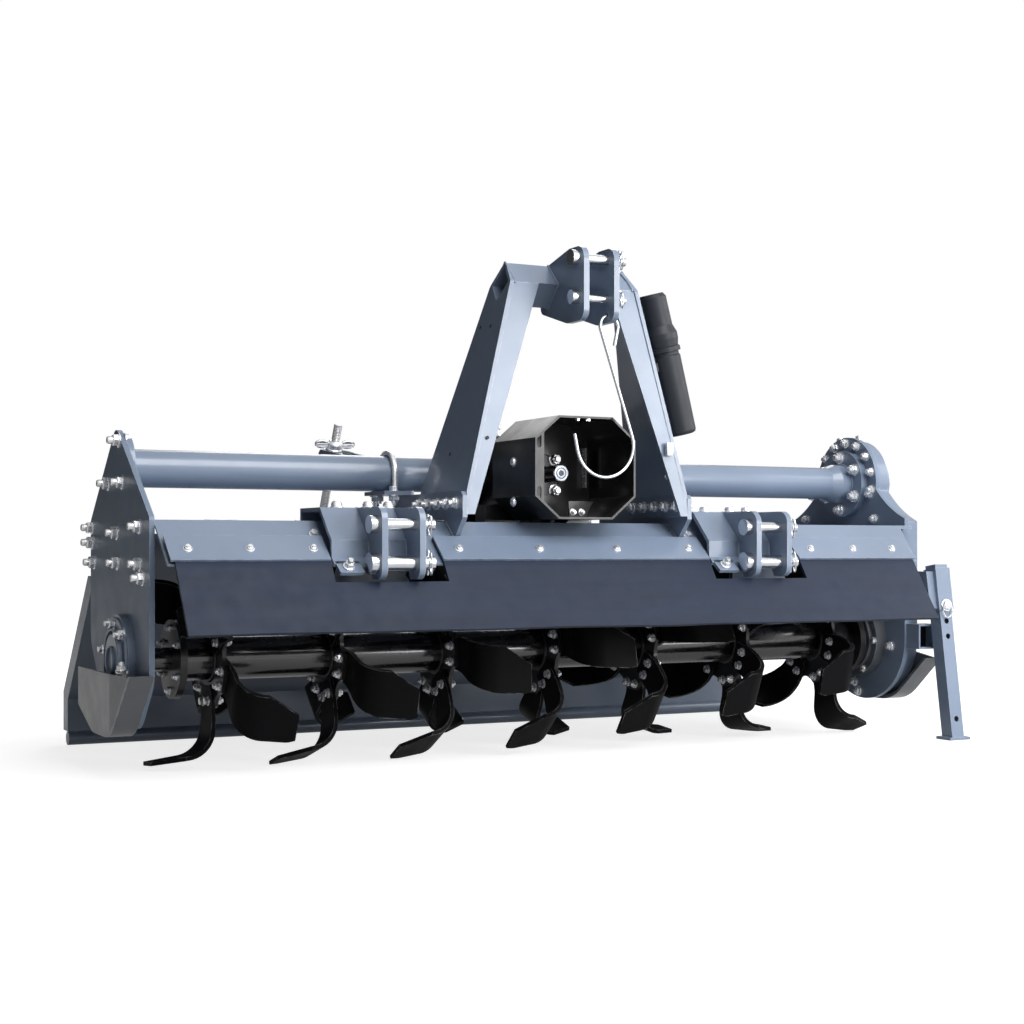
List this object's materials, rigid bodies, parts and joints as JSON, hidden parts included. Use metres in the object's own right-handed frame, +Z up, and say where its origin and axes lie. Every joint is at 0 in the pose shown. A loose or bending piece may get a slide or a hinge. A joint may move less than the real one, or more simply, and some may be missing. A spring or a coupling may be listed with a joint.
{
  "type": "rotary tiller",
  "caption": "Rotary tiller for a three-point hitch: bladed rotor under a hood, side gear case, mast, skids, hinged tailgate and parking stand.",
  "frame": {"origin": "middle of the machine's footprint, on the floor it parks on", "axes": "+X across the machine to the gear case, -Y towards the tractor, +Z up"},
  "size_m": [1.885, 0.9278, 1.019],
  "materials": {
    "paint_slate": "slate blue-grey gloss paint on steel",
    "paint_grey": "grey paint on steel",
    "paint_black": "black paint on steel",
    "rubber_sheet": "dark rubber sheet",
    "zinc": "bright zinc plate",
    "shaft_steel": "bare dark steel",
    "black_plastic": "black moulded plastic"
  },
  "bodies": {
    "frame": {"end_plate_left": "paint_slate", "hub_left": "paint_slate", "case_plate_right": "paint_slate", "gear_case_cover": "paint_slate", "hub_right": "paint_grey", "filler_plug": "zinc", "hood_deck": "paint_slate", "hood_end_left": "paint_slate", "hood_end_right": "paint_slate", "hinge_rod": "zinc", "flap_strips": "paint_slate", "rubber_flap": "rubber_sheet", "tube_left": "paint_slate", "tube_right": "paint_slate", "gearbox": "paint_black", "pto_shield": "paint_black", "shield_bracket": "paint_black", "mast_leg_left": "paint_slate", "mast_leg_right": "paint_slate", "mast_cross_tube": "paint_slate", "gusset_left": "paint_slate", "gusset_right": "paint_slate", "tube_saddles": "paint_slate", "tube_u_bolts": "zinc", "top_clevis": "paint_slate", "top_pins": "zinc", "hitch_bracket_left": "paint_slate", "hitch_bracket_right": "paint_slate", "lower_clevis_left": "paint_slate", "lower_clevis_right": "paint_slate", "lower_pins_left": "zinc", "lower_pins_right": "zinc", "skid_left": "paint_grey", "skid_right": "paint_grey", "rod_brackets": "paint_slate", "stand_sleeve": "paint_slate", "stand_receiver": "paint_slate", "manual_canister": "black_plastic"},
    "rotor": {"rotor_shaft": "paint_black", "rotor_flanges": "paint_black", "tines_1": "paint_black", "tines_2": "paint_black", "tines_3": "paint_black", "tines_4": "paint_black", "tines_5": "paint_black", "tines_6": "paint_black", "tines_7": "paint_black"},
    "pto": {"pto_shaft": "shaft_steel"},
    "gate": {"tailgate": "paint_slate", "tail_bar": "paint_slate"},
    "guide_left": {"rod_guide_left": "paint_slate"},
    "guide_right": {"rod_guide_right": "paint_slate"},
    "rod_left": {"depth_rod_left": "zinc"},
    "rod_right": {"depth_rod_right": "zinc"},
    "stand": {"stand_leg": "paint_slate"},
    "hook": {"driveline_hook": "zinc"}
  },
  "joints": [
    {"name": "rotor_spin", "type": "hinge", "parent": "frame", "child": "rotor", "pos_m": [-0.0065, -0.10511, 0.215], "axis": [1, 0, 0], "continuous": true},
    {"name": "pto_spin", "type": "hinge", "parent": "frame", "child": "pto", "pos_m": [-0.0465, -0.19011, 0.581], "axis": [0, -1, 0], "continuous": true},
    {"name": "gate_lift", "type": "hinge", "parent": "frame", "child": "gate", "pos_m": [-0.0065, 0.18489, 0.4775], "axis": [1, 0, 0], "range_deg": [0, 45]},
    {"name": "stand_slide", "type": "slide", "parent": "frame", "child": "stand", "axis": [0, 0.1461, 0.9893], "range_m": [0, 0.26]},
    {"name": "hook_swing", "type": "hinge", "parent": "frame", "child": "hook", "pos_m": [-0.0065, -0.40411, 0.88868], "axis": [-1, 0, 0], "range_deg": [-3, 75]},
    {"name": "guide_left_swing", "type": "hinge", "parent": "frame", "child": "guide_left", "pos_m": [-0.3795, 0.14489, 0.622], "axis": [1, 0, 0], "range_deg": [-1, 29.57]},
    {"name": "rod_left_slide", "type": "slide", "parent": "guide_left", "child": "rod_left", "axis": [0, -0.4499, 0.8931], "range_m": [-0.001, 0.04658]},
    {"name": "guide_right_swing", "type": "hinge", "parent": "frame", "child": "guide_right", "pos_m": [0.2925, 0.14489, 0.622], "axis": [1, 0, 0], "range_deg": [-1, 29.57]},
    {"name": "rod_right_slide", "type": "slide", "parent": "guide_right", "child": "rod_right", "axis": [0, -0.4499, 0.8931], "range_m": [-0.001, 0.04658]}
  ],
  "couplings": [
    {"joint": "pto_spin", "follows": "rotor_spin", "ratio": 2.5714},
    {"joint": "guide_left_swing", "follows": "gate_lift", "ratio": 0.635},
    {"joint": "rod_left_slide", "follows": "gate_lift", "m_per_rad": 0.05804},
    {"joint": "guide_right_swing", "follows": "gate_lift", "ratio": 0.635},
    {"joint": "rod_right_slide", "follows": "gate_lift", "m_per_rad": 0.05804}
  ]
}
